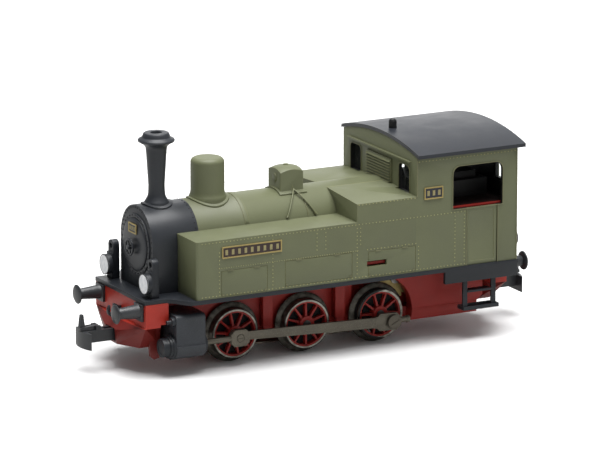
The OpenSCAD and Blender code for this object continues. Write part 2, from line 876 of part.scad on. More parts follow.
// Section of the cylinder block in Y and Z: the steam chest stands back above the casing
module cylinder_section() {
    difference() {
        translate([cyl_y, tread_r]) circle(cyl_r);
        translate([chest_y, casing_z]) square(4);
    }
    translate([cyl_y, tread_r]) square([cyl_r, casing_z - tread_r]);
    translate([6.4, casing_z]) square([cyl_y - 6.4, 1]);
    translate([6.4, 7.0]) square([chest_y - 1 - 6.4, 6.7]);
    translate([6.4, 7.0]) square([chest_y - 6.4, 5.7]);
    translate([chest_y - 1, 12.7]) circle(1.0);
}

// Cylinder and steam chest in one block, bored for the piston rod
module cylinder_block() {
    difference() {
        along_x(cyl_x0, cyl_x1) cylinder_section();
        xcyl(piston_r + run_gap, cyl_x0 - 1, cyl_x1 - 0.1, [cyl_y, tread_r]);
    }
}

module cylinders() {
    color([0.15, 0.16, 0.17]) both_sides() cylinder_block();
}

// Front covers, rear glands and valve spindle guides
module cylinder_covers() {
    at = [cyl_y, tread_r];
    color([0.12, 0.13, 0.14])
    both_sides() {
        xcyl(2.9, cyl_x1, cyl_x1 + 0.7, at);
        xcyl(2.6, cyl_x1 + 0.7, cyl_x1 + 1.3, at);
        difference() {
            xcyl(2.2, cyl_x1 + 1.3, cyl_x1 + 2.8, at);
            xcyl(1.5, cyl_x1 + 2.6, cyl_x1 + 3, at);
        }
        difference() {
            union() {
                xcyl(2.6, cyl_x0 - 0.6, cyl_x0, at);
                xcyl(1.3, cyl_x0 - 1.3, cyl_x0 - 0.6, at);
            }
            xcyl(piston_r + run_gap, cyl_x0 - 2, cyl_x0 + 1, at);
        }
        xcyl(1.1, cyl_x1, cyl_x1 + 0.9, [14.7, 12.2]);
        xcyl(0.5, cyl_x1 + 0.9, cyl_x1 + 2.0, [14.7, 12.2]);
    }
}

// ---------- motor ----------

// Steel yoke with the two magnet poles
module motor_yoke() {
    color([0.30, 0.31, 0.33])
    translate([motor_at[0], 0, motor_at[1]]) difference() {
        ycyl(7.1, -6.6, 2.5);
        ycyl(6.3, -7, 1.5);
        ycyl(5.6, -7, 3);
    }
    color([0.22, 0.22, 0.23])
    translate([motor_at[0], 0, motor_at[1]]) difference() {
        ycyl(6.3, -6.0, 1.5);
        ycyl(5.6, -7, 3);
        block([-2, -8, -8], [2, 3, 8]);
    }
}

// Insulated end shield with the two brush tubes
module brush_plate() {
    color([0.45, 0.30, 0.16])
    translate([motor_at[0], 0, motor_at[1]]) difference() {
        union() {
            ycyl(6.9, -7.6, -6.6);
            for (s = [-1, 1]) {
                ycyl(1.1, -8.8, -7.6, [0, 3.2 * s]);
            }
        }
        ycyl(shaft_r + run_gap, -9, -6);
    }
}

// ---------- wheelsets ----------

// Spoked wheel centre, left side; the crank boss only on a driven wheel
module wheel_centre(phase, crank) {
    difference() {
        union() {
            difference() {
                ycyl(rim_r, wheel_y0 + 0.4, wheel_y1 - 0.15);
                ycyl(rim_r - 0.35, wheel_y0, wheel_y1);
            }
            ycyl(1.9, wheel_y0, wheel_y1 + 0.1);
            for (k = [0:spokes - 1]) {
                rotate([0, -phase - k * 360 / spokes, 0]) along_y(wheel_y0 + 1.5, wheel_y1 - 0.35)
                    polygon([[1.5, -0.28], [rim_r - 0.2, -0.18], [rim_r - 0.2, 0.18], [1.5, 0.28]]);
            }
            if (crank != undef) {
                ycyl(1.25, wheel_y0 + 0.7, wheel_y1 + 0.1, polar(crank_r, crank));
            }
        }
        ycyl(axle_r, 0, 20);
        if (crank != undef) {
            ycyl(pin_r, 0, 20, polar(crank_r, crank));
        }
    }
}

module wheels(x, phase, left, right) {
    color([0.62, 0.13, 0.11])
    translate([x, 0, tread_r]) {
        wheel_centre(phase, left);
        mirror([0, 1, 0]) wheel_centre(phase, right);
    }
}

// Tyre section: flange inwards, groove for a traction tyre when asked for
module tyre(groove) {
    difference() {
        turned_y() polygon([
            [rim_r, wheel_y0], [tread_r + 0.5, wheel_y0], [tread_r + flange_h, wheel_y0 + 0.3],
            [tread_r + flange_h, wheel_y0 + 0.55], [tread_r + 0.6, wheel_y0 + 0.85],
            [tread_r, wheel_y0 + 1.0], [tread_r, wheel_y1 - 0.12], [tread_r - 0.12, wheel_y1],
            [rim_r, wheel_y1]
        ]);
        if (groove) {
            turned_y() translate([tread_r - 0.3, wheel_y0 + 1.25]) square([1, 1.2]);
        }
    }
}

module tyres(x, groove) {
    color([0.60, 0.60, 0.58])
    translate([x, 0, tread_r]) both_sides() tyre(groove);
}

module axle(x) {
    translate([x, 0, tread_r]) both_sides() {
        ycyl(axle_r, 0, wheel_y1 + 0.25);
        ycyl(axle_r - 0.15, wheel_y1 + 0.25, wheel_y1 + 0.4);
    }
}

// Crank pin with its distance collar and its broad head
module crank_pin(deg) {
    at = polar(crank_r, deg);
    translate([axle_x[2], 0, tread_r]) {
        ycyl(pin_r, wheel_y0 + 0.7, head_y0, at);
        ycyl(1.2, wheel_y1 + 0.1, rod_y0 - 0.08, at);
        difference() {
            ycyl(1.75, rod_y1 + 0.08, rod_y1 + 0.85, at);
            translate([at[0], 0, at[1]]) rotate([0, 25, 0])
                block([-1.1, rod_y1 + 0.65, -0.17], [1.1, rod_y1 + 1, 0.17]);
        }
    }
}

module axle_front() {
    color([0.25, 0.26, 0.27]) axle(axle_x[0]);
}

module axle_middle() {
    color([0.25, 0.26, 0.27]) axle(axle_x[1]);
}

module axle_rear() {
    color([0.25, 0.26, 0.27]) {
        axle(axle_x[2]);
        crank_pin(crank_deg);
        mirror([0, 1, 0]) crank_pin(crank_deg_right);
    }
}

module wheels_front() {
    wheels(axle_x[0], spoke_phase[0], undef, undef);
}

module wheels_middle() {
    wheels(axle_x[1], spoke_phase[1], undef, undef);
}

module wheels_rear() {
    wheels(axle_x[2], spoke_phase[2], crank_deg, crank_deg_right);
}

module tyres_front() {
    tyres(axle_x[0], false);
}

module tyres_middle() {
    tyres(axle_x[1], false);
}

module tyres_rear() {
    tyres(axle_x[2], true);
}

module traction_tyres() {
    color([0.09, 0.09, 0.09])
    translate([axle_x[2], 0, tread_r]) both_sides() turned_y()
        translate([tread_r - 0.3, wheel_y0 + 1.25]) square([0.3, 1.2]);
}

module axle_gear() {
    color([0.75, 0.60, 0.25])
    gear(teeth_axle, plane_a, [axle_x[2], tread_r], 0, axle_r);
}

// ---------- rods ----------

// Main rod along +X from its big end at the origin, in the left side's plane
module main_rod(deg) {
    at = crank_at(deg);
    tilt = asin((tread_r - at[1]) / main_rod_l);
    color([0.45, 0.44, 0.40])
    translate([at[0], 0, at[1]]) rotate([0, -tilt, 0]) difference() {
        union() {
            along_y(rod_y0, rod_y1 - 0.1) polygon([
                [2, -1.25], [main_rod_l - 1, -0.95], [main_rod_l - 1, 0.95], [2, 1.25]
            ]);
            along_y(rod_y0, rod_y1) polygon([
                [5.5, -1.2], [main_rod_l - 2.4, -0.97], [main_rod_l - 2.4, -0.67], [5.5, -0.9]
            ]);
            along_y(rod_y0, rod_y1) translate([4.0, -1.35]) square([0.8, 2.7]);
            along_y(rod_y0, rod_y1) translate([1.3, 0]) cut_corner(6.2, 4.1, 0.9);
            ycyl(1.35, rod_y0, rod_y1, [main_rod_l, 0]);
        }
        ycyl(pin_r + run_gap, 0, 20);
        ycyl(pin_r + run_gap, 0, 20, [main_rod_l, 0]);
    }
}

module main_rod_left() {
    main_rod(crank_deg);
}

module main_rod_right() {
    mirror([0, 1, 0]) main_rod(crank_deg_right);
}

// Crosshead block with its pin, and the piston rod that runs into the cylinder
module crosshead(deg) {
    x = eye_x(deg);
    color([0.50, 0.49, 0.45]) {
        translate([x, 0, tread_r]) {
            difference() {
                along_y(head_y0, head_y1) cut_corner(4.7, 3.9, 0.9);
                ycyl(1.0, head_y1 - 0.4, head_y1 + 1);
            }
            difference() {
                ycyl(0.85, head_y1 - 0.4, head_y1 + 0.1);
                block([-1, head_y1 - 0.1, -0.15], [1, head_y1 + 1, 0.15]);
            }
        }
        xcyl(piston_r, x + 2.35, x + 12.2, [cyl_y, tread_r]);
    }
}

module crosshead_left() {
    crosshead(crank_deg);
}

module crosshead_right() {
    mirror([0, 1, 0]) crosshead(crank_deg_right);
}

// ---------- gears and armature ----------

module idler_gear() {
    color([0.75, 0.60, 0.25])
    gear(teeth_idler, plane_a, idler_at, idler_turn, stud_r + run_gap);
}

module compound_gear() {
    color([0.75, 0.60, 0.25]) {
        gear(teeth_small, [plane_b[1], plane_a[1]], compound_at, small_turn, stud_r + run_gap);
        gear(teeth_large, plane_b, compound_at, 0, stud_r + run_gap);
    }
}

// Three-pole armature on its shaft, with the commutator and the pinion
module armature() {
    color([0.35, 0.34, 0.33])
    translate([motor_at[0], 0, motor_at[1]]) {
        difference() {
            union() {
                for (k = [0:2]) {
                    rotate([0, 120 * k, 0]) block([0, -5, -0.9], [4.8, 0.5, 0.9]);
                }
                difference() {
                    ycyl(5.4, -5, 0.5);
                    ycyl(4.7, -6, 1);
                    for (k = [0:2]) {
                        rotate([0, 120 * k + 60, 0]) block([0, -6, -0.9], [7, 1, 0.9]);
                    }
                }
                ycyl(1.7, -5, 0.5);
            }
            ycyl(shaft_r - 0.01, -6, 1);
        }
        ycyl(shaft_r, -8.4, 4.7);
        difference() {
            ycyl(1.9, -6.4, -5.4);
            ycyl(shaft_r - 0.01, -7, -5);
        }
    }
    color([0.75, 0.60, 0.25])
    gear(teeth_pinion, plane_b, motor_at, pinion_turn, shaft_r - 0.01);
}

module armature_windings() {
    color([0.62, 0.30, 0.14])
    translate([motor_at[0], 0, motor_at[1]])
    for (k = [0:2]) {
        rotate([0, 120 * k, 0]) difference() {
            block([2.2, -5.3, -1.7], [4.2, 0.8, 1.7]);
            block([1, -5, -0.9], [6, 0.5, 0.9]);
        }
    }
}

// ---------- couplers and pickup ----------

// Front coupler: shank on its pivot, and the broad head with a rounded face
module coupler() {
    x = beam_x1 - pivot_in;
    head = beam_x1 + 9.4;
    difference() {
        union() {
            block([x, -shank_half, shank_z[0]], [head + 0.2, shank_half, shank_z[1]]);
            zcyl(shank_half, shank_z[0], shank_z[1], [x, 0]);
            intersection() {
                block([head, -4.2, 4.8], [head + 1.2, 4.2, shank_z[1]]);
                zcyl(9.0, 4, 10, [head - 7.8, 0]);
            }
            both_sides() block([hook_at[0] - 0.6, 1.0, shank_z[1]],
                [hook_at[0] + 0.6, shank_half, shank_z[1] + 1.1]);
        }
        zcyl(0.65, 5, 10, [x, 0]);
        block([x + 3.4, -0.6, shank_z[1] - 0.7], [x + 6.2, 0.6, shank_z[1] + 1]);
    }
    ycyl(0.3, -1.2, 1.2, hook_at);
}

module coupler_front() {
    color([0.12, 0.12, 0.13]) coupler();
}

module coupler_rear() {
    color([0.12, 0.12, 0.13]) rear_end() coupler();
}

// Coupling hook with its horn, hinged on the front coupler
module hook() {
    difference() {
        union() {
            along_y(-0.9, 0.9) polygon([
                [hook_at[0] - 0.5, 8.85], [beam_x1 + 10.7, 8.85], [beam_x1 + 10.7, 9.6],
                [hook_at[0] - 0.5, 9.75]
            ]);
            along_y(-0.5, 0.5) polygon([
                [beam_x1 + 9.3, 9.5], [beam_x1 + 10.7, 9.5], [beam_x1 + 10.3, 12.5],
                [beam_x1 + 9.7, 12.5]
            ]);
        }
        ycyl(0.35, -2, 2, hook_at);
    }
}

module hook_front() {
    color([0.10, 0.10, 0.11]) hook();
}

module hook_rear() {
    color([0.10, 0.10, 0.11]) rear_end() hook();
}

// Sprung pickup shoe below the keeper plate, guided by two posts
module pickup_skid() {
    color([0.60, 0.58, 0.54]) {
        along_y(-2.0, 2.0) polygon([
            [-24, 1.9], [-20, 0.4], [20, 0.4], [24, 1.9], [24, 2.25], [19.9, 0.75],
            [-19.9, 0.75], [-24, 2.25]
        ]);
        for (x = post_x) {
            zcyl(0.6, 0.6, 4.6, [x, 0]);
        }
    }
}

chassis_frame();
keeper_plate();
side_frames();
frame_screws();
gear_studs();
front_beam();
rear_beam();
running_board();
cab_steps();
body_shell();
boiler();
smokebox();
smokebox_door();
door_handwheel();
chimney();
steam_dome();
sandbox();
sand_pipes();
cab_roof();
louvre_panel();
cab_doors();
window_glazing();
cab_floor();
cab_interior();
backhead_fittings();
reach_rod();
plates();
lamp_housings();
lamp_lenses();
buffer_sleeves();
buffer_heads();
draw_hooks();
cylinders();
cylinder_covers();
motor_yoke();
brush_plate();
axle_front();
wheels_front();
tyres_front();
axle_middle();
wheels_middle();
tyres_middle();
axle_rear();
wheels_rear();
tyres_rear();
traction_tyres();
axle_gear();
main_rod_left();
main_rod_right();
crosshead_left();
crosshead_right();
idler_gear();
compound_gear();
armature();
armature_windings();
coupler_front();
coupler_rear();
hook_front();
hook_rear();
pickup_skid();
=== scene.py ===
import json
import math

import bmesh
import bpy
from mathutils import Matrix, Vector

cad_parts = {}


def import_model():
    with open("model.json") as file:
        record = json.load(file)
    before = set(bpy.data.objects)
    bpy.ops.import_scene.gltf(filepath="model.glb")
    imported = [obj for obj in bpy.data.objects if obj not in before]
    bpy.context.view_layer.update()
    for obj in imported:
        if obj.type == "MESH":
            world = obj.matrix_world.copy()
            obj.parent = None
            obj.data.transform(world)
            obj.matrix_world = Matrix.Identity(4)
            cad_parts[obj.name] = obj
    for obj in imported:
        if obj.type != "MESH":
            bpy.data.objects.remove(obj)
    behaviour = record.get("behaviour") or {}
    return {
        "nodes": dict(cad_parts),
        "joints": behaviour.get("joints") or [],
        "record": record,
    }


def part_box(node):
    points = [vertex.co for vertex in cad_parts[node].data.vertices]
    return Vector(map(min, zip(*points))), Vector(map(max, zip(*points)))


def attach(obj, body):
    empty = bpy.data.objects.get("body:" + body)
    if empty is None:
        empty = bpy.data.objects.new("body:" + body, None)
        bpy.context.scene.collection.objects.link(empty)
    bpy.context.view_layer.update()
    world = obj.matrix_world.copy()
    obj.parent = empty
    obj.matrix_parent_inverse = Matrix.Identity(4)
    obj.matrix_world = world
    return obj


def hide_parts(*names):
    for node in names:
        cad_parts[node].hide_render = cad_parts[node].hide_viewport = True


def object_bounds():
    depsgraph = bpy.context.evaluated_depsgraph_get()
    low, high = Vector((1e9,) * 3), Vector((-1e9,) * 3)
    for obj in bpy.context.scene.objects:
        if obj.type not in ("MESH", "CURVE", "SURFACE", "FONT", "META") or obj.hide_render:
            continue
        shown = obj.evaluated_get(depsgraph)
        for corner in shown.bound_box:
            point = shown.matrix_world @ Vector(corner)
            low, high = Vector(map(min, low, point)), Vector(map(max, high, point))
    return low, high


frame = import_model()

# Small-gauge model tank locomotive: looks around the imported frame, in metres.
# +X points to the chimney end, +Y to the locomotive's left, +Z up.

MM = 0.001
NODES = frame["nodes"]
cad_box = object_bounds()

# Places read from the frame
body_lo, body_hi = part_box("body_shell")
boiler_lo, boiler_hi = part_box("boiler")
smoke_lo, smoke_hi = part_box("smokebox")
board_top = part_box("running_board")[1].z
side_y = body_hi.y
boiler_r = smoke_hi.y
boiler_z = smoke_hi.z - boiler_r
door_z = (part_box("smokebox_door")[0].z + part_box("smokebox_door")[1].z) / 2
sand_lo, sand_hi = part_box("sandbox")
tank_front = 32.6 * MM
tank_top = 31.1 * MM
bunker_front = -8.9 * MM
bunker_top = 35.4 * MM
cab_front = -24.6 * MM
cab_back = body_lo.x
eave_z = 44.0 * MM
side_window = ((-47.5 * MM, -34.2 * MM), (31.3 * MM, 41.5 * MM))
side_window_corner = 1.9 * MM
end_window_y = 11.9 * MM
end_window_half = 2.65 * MM
end_window_z = (35.6 * MM, 41.9 * MM)
end_window_corner = 1.2 * MM
door_edge = -38.0 * MM
AXLE_X = [(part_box(name)[0].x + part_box(name)[1].x) / 2 for name in ("axle_front", "axle_middle", "axle_rear")]
AXLE_Z = 6.0 * MM
RING_R = 5.75 * MM


# ---------- materials ----------

def rgb(r, g, b):
    """A colour given as screen values from 0 to 255, as Blender's linear colour."""
    def linear(c):
        c /= 255
        return c / 12.92 if c <= 0.04045 else ((c + 0.055) / 1.055) ** 2.4
    return (linear(r), linear(g), linear(b), 1.0)


def scaled(colour, k):
    return tuple(min(1.0, c * k) for c in colour[:3]) + (1.0,)


class Shader:
    """A material under construction: makes nodes and joins them."""

    def __init__(self, name):
        self.material = bpy.data.materials.new(name)
        self.material.use_nodes = True
        self.tree = self.material.node_tree
        self.tree.nodes.clear()
        self.output = self.node("ShaderNodeOutputMaterial")
        self.bsdf = self.node("ShaderNodeBsdfPrincipled")
        self.join(self.bsdf, "BSDF", self.output, "Surface")
        self.place = self.node("ShaderNodeTexCoord")

    def node(self, kind, **settings):
        n = self.tree.nodes.new(kind)
        for key, value in settings.items():
            setattr(n, key, value)
        return n

    def join(self, a, out, b, inp):
        self.tree.links.new(a.outputs[out], b.inputs[inp])

    def noise(self, scale, detail=3.0, stretch=None):
        n = self.node("ShaderNodeTexNoise")
        n.inputs["Scale"].default_value = scale
        n.inputs["Detail"].default_value = detail
        if stretch:
            m = self.node("ShaderNodeMapping")
            m.inputs["Scale"].default_value = stretch
            self.join(self.place, "Object", m, "Vector")
            self.join(m, "Vector", n, "Vector")
        else:
            self.join(self.place, "Object", n, "Vector")
        return n

    def span(self, source, out, low, high, to_low, to_high):
        m = self.node("ShaderNodeMapRange", clamp=True)
        m.inputs["From Min"].default_value = low
        m.inputs["From Max"].default_value = high
        m.inputs["To Min"].default_value = to_low
        m.inputs["To Max"].default_value = to_high
        self.join(source, out, m, "Value")
        return m

    def mix(self, mask, mask_out, a, b):
        """Mixes two colours or node outputs by a mask; returns the mixing node."""
        m = self.node("ShaderNodeMix", data_type="RGBA")
        self.tree.links.new(mask.outputs[mask_out], m.inputs[0])
        for value, place in ((a, 6), (b, 7)):
            if isinstance(value, tuple):
                m.inputs[place].default_value = value
            else:
                self.tree.links.new(value.outputs[2], m.inputs[place])
        return m

    def multiply(self, a, a_out, b, b_out):
        m = self.node("ShaderNodeMath", operation="MULTIPLY")
        self.tree.links.new(a.outputs[a_out], m.inputs[0])
        self.tree.links.new(b.outputs[b_out], m.inputs[1])
        return m

    def edges(self, radius):
        """1 on edges and 0 on flat faces, from how far the rounded normal leans away."""
        bevel = self.node("ShaderNodeBevel", samples=4)
        bevel.inputs["Radius"].default_value = radius
        face = self.node("ShaderNodeNewGeometry")
        dot = self.node("ShaderNodeVectorMath", operation="DOT_PRODUCT")
        self.join(bevel, "Normal", dot, 0)
        self.join(face, "Normal", dot, 1)
        return self.span(dot, "Value", 0.98, 0.80, 0.0, 1.0)

    def outer_face(self, distance):
        """1 further from the middle plane than distance, else 0."""
        split = self.node("ShaderNodeSeparateXYZ")
        self.join(self.place, "Object", split, "Vector")
        size = self.node("ShaderNodeMath", operation="ABSOLUTE")
        self.join(split, "Y", size, 0)
        return self.span(size, "Value", distance - 0.01 * MM, distance + 0.01 * MM, 0.0, 1.0)

    def inside(self, lo, hi):
        """1 inside a box given in row-frame metres, with None for an open side, else 0."""
        split = self.node("ShaderNodeSeparateXYZ")
        self.join(self.place, "Object", split, "Vector")
        mask = None
        for axis, a, b in zip("XYZ", lo, hi):
            for bound, low, high in ((a, 0.0, 1.0), (b, 1.0, 0.0)):
                if bound is None:
                    continue
                step = self.span(split, axis, bound - 0.01 * MM, bound + 0.01 * MM, low, high)
                mask = self.multiply(mask, 0, step, 0) if mask else step
        return mask

    def crevices(self, reach):
        """1 in the open and 0 deep in corners."""
        ao = self.node("ShaderNodeAmbientOcclusion", samples=4)
        ao.inputs["Distance"].default_value = reach
        return self.span(ao, "AO", 0.25, 0.85, 0.0, 1.0)


def finish(name, tone, rough=0.5, metal=0.0, drift=0.10, speckle=0.06, bump=0.12, edge=None,
           edge_share=0.5, corner_shade=0.35, brushed=False, specular=0.5, zone=None, outer=None):
    """Paint, plastic or metal with slow colour drift, fine speckle, bump, lighter edges for wear and painted
    highlight, and painted shade in corners.

    zone is a box and the colour inside it.
    outer is a distance from the middle plane and the colour beyond it.
    """
    s = Shader(name)
    slow = s.noise(160.0, 4.0)
    fine = s.noise(5200.0, 2.0, (1.0, 0.06, 1.0) if brushed else None)
    patches = s.span(slow, "Fac", 0.3, 0.7, 0.0, 1.0)
    drifted = s.mix(patches, "Result", scaled(tone, 1 - drift), scaled(tone, 1 + drift))
    dust = s.span(fine, "Fac", 0.52, 0.75, 0.0, speckle * 4)
    colour = s.mix(dust, "Result", drifted, scaled(tone, 1.9))
    # Painted shade: darker in corners and crevices from the ambient occlusion, made uneven by the slow noise.
    if corner_shade:
        depth = s.crevices(1.2 * MM)
        uneven = s.span(slow, "Fac", 0.2, 0.8, 0.0, 1.0)
        dark = s.mix(uneven, "Result", scaled(tone, 1 - corner_shade), scaled(tone, 1 - corner_shade / 2))
        colour = s.mix(depth, "Result", dark, colour)
    # Lighter edges: partly wear, partly a painted highlight where edges catch the light.
    if edge:
        share = s.span(slow, "Fac", 0.3, 0.65, edge_share * 0.5, edge_share)
        edge_wear_and_highlight = s.multiply(s.edges(0.13 * MM), "Result", share, "Result")
        colour = s.mix(edge_wear_and_highlight, "Value", colour, edge)
    if zone:
        lo, hi, zone_tone = zone
        colour = s.mix(s.inside(lo, hi), 0, colour, zone_tone)
    if outer:
        distance, outer_tone = outer
        colour = s.mix(s.outer_face(distance), "Result", colour, outer_tone)
    s.join(colour, 2, s.bsdf, "Base Color")
    s.join(s.span(slow, "Fac", 0.25, 0.75, rough - 0.06, rough + 0.08), "Result", s.bsdf, "Roughness")
    s.bsdf.inputs["Metallic"].default_value = metal
    s.bsdf.inputs["Specular IOR Level"].default_value = specular
    raised = s.node("ShaderNodeBump")
    raised.inputs["Strength"].default_value = bump
    raised.inputs["Distance"].default_value = 0.04 * MM
    s.join(fine, "Fac", raised, "Height")
    s.join(raised, "Normal", s.bsdf, "Normal")
    return s.material


def tyre_finish():
    """Tarnished tread and flange, a blackened outer face and a turned ring inside it."""
    s = Shader("tyre_steel")
    slow = s.noise(700.0, 4.0)
    fine = s.noise(6000.0, 2.0)
    patches = s.span(slow, "Fac", 0.35, 0.65, 0.0, 1.0)
    bright = s.mix(patches, "Result", rgb(104, 101, 92), rgb(176, 174, 164))
    black = s.mix(patches, "Result", rgb(26, 26, 27), rgb(44, 43, 42))
    tread = s.mix(patches, "Result", rgb(70, 66, 58), rgb(112, 108, 100))
    ring_mask = None
    for x in AXLE_X:
        offset = s.node("ShaderNodeVectorMath", operation="SUBTRACT")
        s.join(s.place, "Object", offset, 0)
        offset.inputs[1].default_value = (x, 0.0, AXLE_Z)
        flat = s.node("ShaderNodeVectorMath", operation="MULTIPLY")
        s.join(offset, 0, flat, 0)
        flat.inputs[1].default_value = (1.0, 0.0, 1.0)
        size = s.node("ShaderNodeVectorMath", operation="LENGTH")
        s.join(flat, 0, size, 0)
        near = s.span(size, "Value", RING_R - 0.01 * MM, RING_R + 0.01 * MM, 1.0, 0.0)
        if ring_mask:
            joined = s.node("ShaderNodeMath", operation="MAXIMUM")
            s.tree.links.new(ring_mask.outputs[0], joined.inputs[0])
            s.tree.links.new(near.outputs[0], joined.inputs[1])
            ring_mask = joined
        else:
            ring_mask = near
    face = s.mix(ring_mask, 0, black, bright)
    s.join(s.mix(s.outer_face(9.93 * MM), "Result", tread, face), 2, s.bsdf, "Base Color")
    s.join(s.span(slow, "Fac", 0.3, 0.7, 0.28, 0.45), "Result", s.bsdf, "Roughness")
    s.bsdf.inputs["Metallic"].default_value = 0.6
    raised = s.node("ShaderNodeBump")
    raised.inputs["Strength"].default_value = 0.1
    raised.inputs["Distance"].default_value = 0.02 * MM
    s.join(fine, "Fac", raised, "Height")
    s.join(raised, "Normal", s.bsdf, "Normal")
    return s.material


def lens_finish():
    """Lamp glass over a bright reflector: pale tones that drift by noise, with a clear coat."""
    s = Shader("lamp_lens")
    slow = s.noise(900.0, 2.0)
    tone = s.mix(s.span(slow, "Fac", 0.3, 0.7, 0.0, 1.0), "Result", rgb(214, 217, 224), rgb(240, 241, 243))
    s.join(tone, 2, s.bsdf, "Base Color")
    s.bsdf.inputs["Roughness"].default_value = 0.18
    s.bsdf.inputs["Coat Weight"].default_value = 0.8
    return s.material


def glass_finish():
    """Thin clear window pane with light dust."""
    s = Shader("window_pane")
    clear = s.node("ShaderNodeBsdfTransparent")
    clear.inputs["Color"].default_value = (0.93, 0.95, 0.94, 1.0)
    s.bsdf.inputs["Base Color"].default_value = rgb(205, 212, 210)
    s.bsdf.inputs["Roughness"].default_value = 0.08
    blend = s.node("ShaderNodeMixShader")
    s.join(s.span(s.noise(500.0), "Fac", 0.3, 0.8, 0.01, 0.03), "Result", blend, 0)
    s.join(clear, "BSDF", blend, 1)
    s.join(s.bsdf, "BSDF", blend, 2)
    s.join(blend, "Shader", s.output, "Surface")
    return s.material


OLIVE = rgb(101, 105, 77)
# Edge tones: lighter than their paint, for wear and a painted highlight on edges.
OLIVE_EDGE = rgb(150, 146, 96)
BLACK_EDGE = rgb(110, 112, 112)
RED = rgb(146, 38, 32)

# Painted shade: near-black on the cab's inner faces and door jambs, which lie in shade.
CAB_INSIDE_SHADE = ((cab_back + 0.1 * MM, -side_y + 0.08 * MM, board_top + 0.1 * MM),
              (cab_front - 0.08 * MM, side_y - 0.08 * MM, None))
# Painted shade: darker red on the beams below the ledge, where the nose lies in shade.
NOSE_SHADE_BELOW = ((None, None, None), (None, None, 10.75 * MM))
VENT_PIPE = ((None, None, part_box("cab_roof")[1].z - 2.15 * MM), (None, None, None))
# Painted shade: near-black on the top of the frame inside the cab, which lies in shade.
CAB_FRAME_SHADE = ((None, -16.2 * MM, 31.0 * MM), (cab_front, 16.2 * MM, None))
CRANK_FACE = 12.4 * MM

MATERIALS = {
    # body_green: olive paint, near-black inside the cab as painted shade.
    "body_green": finish("body_green", OLIVE, rough=0.5, edge=OLIVE_EDGE, edge_share=0.7, drift=0.05,
                         speckle=0.03, zone=CAB_INSIDE_SHADE + (rgb(22, 23, 22),)),
    "door_green": finish("door_green", OLIVE, rough=0.5, edge=OLIVE_EDGE, edge_share=0.7, drift=0.05,
                         speckle=0.03),
    "smokebox_black": finish("smokebox_black", rgb(40, 43, 48), rough=0.40, edge=BLACK_EDGE, edge_share=0.35,
                             speckle=0.08, bump=0.25, specular=0.45),
    "roof_grey": finish("roof_grey", rgb(41, 44, 50), rough=0.38, edge=BLACK_EDGE, edge_share=0.2,
                        speckle=0.04, specular=0.38, zone=VENT_PIPE + (rgb(20, 21, 23),)),
    "satin_black": finish("satin_black", rgb(33, 36, 41), rough=0.42, edge=BLACK_EDGE, edge_share=0.35,
                          speckle=0.12, bump=0.25, specular=0.35),
    "cylinder_black": finish("cylinder_black", rgb(52, 55, 60), rough=0.4, edge=BLACK_EDGE, edge_share=0.5,
                             speckle=0.12, bump=0.25, specular=0.4),
    # inside_black: the cab interior made near-black as painted shade.
    "inside_black": finish("inside_black", rgb(20, 20, 21), rough=0.6, corner_shade=0.0),
    "buffer_black": finish("buffer_black", rgb(50, 52, 55), rough=0.38, edge=BLACK_EDGE, edge_share=0.4),
    "coupler_black": finish("coupler_black", rgb(44, 46, 49), rough=0.38, edge=BLACK_EDGE, edge_share=0.35),
    # frame_red: near-black inside the cab as painted shade.
    "frame_red": finish("frame_red", RED, rough=0.45, edge=rgb(190, 70, 56), edge_share=0.3, specular=0.3,
                        zone=CAB_FRAME_SHADE + (rgb(30, 18, 17),)),
    # beam_red: darker red below the ledge as painted shade.
    "beam_red": finish("beam_red", rgb(166, 46, 34), rough=0.4, edge=rgb(214, 104, 80), edge_share=0.4,
                       specular=0.35, zone=NOSE_SHADE_BELOW + (rgb(112, 32, 27),)),
    "wheel_red": finish("wheel_red", rgb(150, 37, 31), rough=0.42, edge=rgb(205, 84, 72), edge_share=0.3,
                        specular=0.35),
    "steel": finish("steel", rgb(150, 150, 148), rough=0.35, metal=0.9, brushed=True),
    "dark_steel": finish("dark_steel", rgb(58, 58, 57), rough=0.4, metal=0.6, edge=rgb(130, 130, 125),
                         outer=(CRANK_FACE, rgb(92, 86, 76))),
    "rod_metal": finish("rod_metal", rgb(98, 93, 82), rough=0.4, metal=0.5, drift=0.22, speckle=0.16,
                        bump=0.4, edge=rgb(168, 162, 146), edge_share=0.55),
    "yoke_steel": finish("yoke_steel", rgb(96, 97, 100), rough=0.4, metal=0.8, brushed=True),
    "pickup_steel": finish("pickup_steel", rgb(170, 164, 150), rough=0.32, metal=0.9, brushed=True),
    "brass": finish("brass", rgb(164, 146, 92), rough=0.42, metal=0.45, edge=rgb(196, 182, 130)),
    "copper": finish("copper", rgb(160, 84, 46), rough=0.38, metal=0.7, brushed=True),
    "insulator": finish("insulator", rgb(112, 74, 42), rough=0.6),
    "rubber": finish("rubber", rgb(30, 30, 30), rough=0.75, corner_shade=0.0),
    "tyre_steel": tyre_finish(),
    "lens": lens_finish(),
    "clear": glass_finish(),
}
# Painted highlight: side rivets are painted much lighter than the olive, for the light their domed heads catch.
RIVET_HIGHLIGHT = finish("rivet_highlight_paint", rgb(150, 148, 98), rough=0.5, edge=rgb(176, 172, 116), edge_share=0.6, corner_shade=0.0)
# Painted shade: smokebox rivets are painted darker than the black, for the shade round their heads.
RIVET_SHADE = finish("rivet_shade_paint", rgb(24, 25, 27), rough=0.5, corner_shade=0.0)
# Painted shade: near-black discs behind the spokes stand in for the shaded frame seen between them.
SPOKE_GAP_SHADE = finish("spoke_gap_shade", rgb(14, 14, 15), rough=0.8, corner_shade=0.0)
